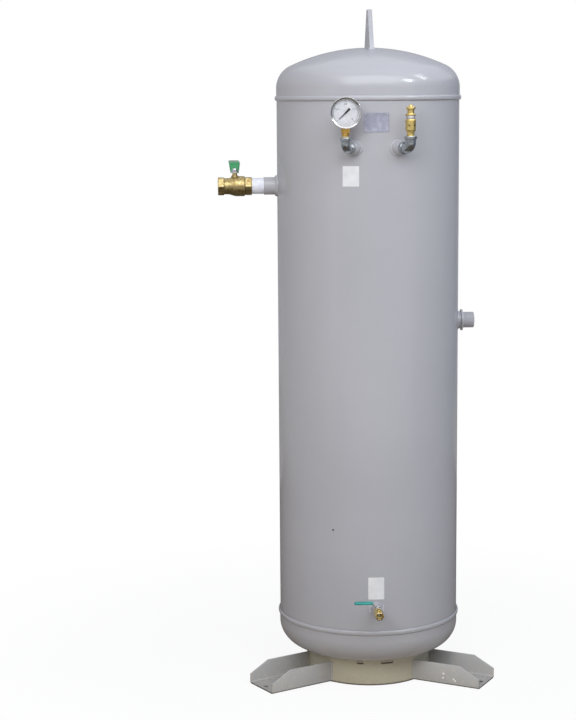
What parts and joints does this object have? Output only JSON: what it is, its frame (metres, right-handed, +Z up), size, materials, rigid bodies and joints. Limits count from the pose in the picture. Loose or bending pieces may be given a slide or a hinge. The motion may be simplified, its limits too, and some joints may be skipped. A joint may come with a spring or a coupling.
{
  "type": "air receiver tank",
  "caption": "Upright welded air receiver tank on channel feet, with lifting lug, dial gauge, spring relief valve, lever ball valves at inlet and drain, and a threaded outlet.",
  "frame": {"origin": "on the floor, at the centre of the whole object's footprint; the tank's own axis stands 35.5 mm towards +X and 12.0 mm towards -Y from it", "axes": "+Z up along the tank, -Y towards the side with the nameplate and the drain, -X towards the inlet valve"},
  "size_m": [0.7548, 0.698, 1.85],
  "materials": {
    "grey_paint": "glossy sprayed enamel, pale blue-grey",
    "brass": "cast and turned brass, satin",
    "galvanised_iron": "bright zinc coat on malleable iron",
    "bright_steel": "plated or polished steel",
    "white_ptfe": "white thread-seal tape and PTFE",
    "green_vinyl": "dipped green vinyl",
    "teal_vinyl": "dipped blue-green vinyl",
    "white_dial": "printed white enamel",
    "black_enamel": "matt black enamel",
    "clear_glass": "clear flat glass"
  },
  "bodies": {
    "tank": {"shell": "grey_paint", "top_head": "grey_paint", "bottom_head": "grey_paint", "top_seam_weld": "grey_paint", "bottom_seam_weld": "grey_paint", "base_skirt": "grey_paint", "foot_rear": "grey_paint", "foot_left": "grey_paint", "foot_right": "grey_paint", "lifting_lug": "grey_paint", "inlet_coupling": "grey_paint", "outlet_nipple": "grey_paint", "outlet_collar": "grey_paint", "drain_coupling": "grey_paint", "gauge_socket": "grey_paint", "relief_socket": "grey_paint", "drain_nipple": "brass", "inlet_valve_body": "brass", "inlet_valve_end": "brass", "inlet_gland_nut": "brass", "drain_valve_body": "brass", "drain_valve_end": "brass", "drain_gland_nut": "brass", "gauge_stem": "brass", "gauge_bourdon_tube": "brass", "gauge_works_plate": "brass", "relief_body": "brass", "relief_bonnet": "brass", "gauge_nipple": "galvanised_iron", "relief_nipple": "galvanised_iron", "gauge_elbow": "galvanised_iron", "relief_elbow": "galvanised_iron", "gauge_case": "bright_steel", "gauge_bezel": "bright_steel", "relief_lock_ring": "bright_steel", "relief_spring": "bright_steel", "nameplate": "bright_steel", "inlet_nipple": "white_ptfe", "inlet_seat_outer": "white_ptfe", "inlet_seat_inner": "white_ptfe", "inlet_packing": "white_ptfe", "drain_seat_outer": "white_ptfe", "drain_seat_inner": "white_ptfe", "gauge_dial": "white_dial", "gauge_glass": "clear_glass"},
    "inlet_core": {"inlet_ball": "bright_steel", "inlet_stem": "bright_steel", "inlet_lever": "bright_steel", "inlet_lever_nut": "bright_steel", "inlet_grip": "green_vinyl"},
    "drain_core": {"drain_ball": "bright_steel", "drain_stem": "bright_steel", "drain_lever": "bright_steel", "drain_lever_nut": "bright_steel", "drain_grip": "teal_vinyl"},
    "gauge_sector_arm": {"gauge_sector": "brass"},
    "gauge_arbor": {"gauge_pinion": "bright_steel", "gauge_pointer": "black_enamel"},
    "relief_stem": {"relief_spindle": "brass", "relief_knob": "brass"}
  },
  "joints": [
    {"name": "inlet_lever_turn", "type": "hinge", "parent": "tank", "child": "inlet_core", "pos_m": [-0.33099, -0.012, 1.375], "axis": [0, 0, 1], "range_deg": [0, 90]},
    {"name": "drain_lever_turn", "type": "hinge", "parent": "tank", "child": "drain_core", "pos_m": [0.03551, -0.3245, 0.245], "axis": [0, 0, 1], "range_deg": [0, 90]},
    {"name": "gauge_sector_swing", "type": "hinge", "parent": "tank", "child": "gauge_sector_arm", "pos_m": [-0.04908, -0.30096, 1.559], "axis": [0, 1, 0], "range_deg": [-30, 0], "stiffness_Nm_per_rad": 0.02},
    {"name": "gauge_pointer_turn", "type": "hinge", "parent": "tank", "child": "gauge_arbor", "pos_m": [-0.04908, -0.30096, 1.576], "axis": [0, 1, 0], "range_deg": [0, 270]},
    {"name": "relief_lift", "type": "slide", "parent": "tank", "child": "relief_stem", "axis": [0, 0, 1], "range_m": [0, 0.003], "stiffness_N_per_m": 900, "springref_m": -0.004, "deforming": ["relief_spring"]}
  ],
  "couplings": [
    {"joint": "gauge_pointer_turn", "follows": "gauge_sector_swing", "ratio": -9}
  ]
}
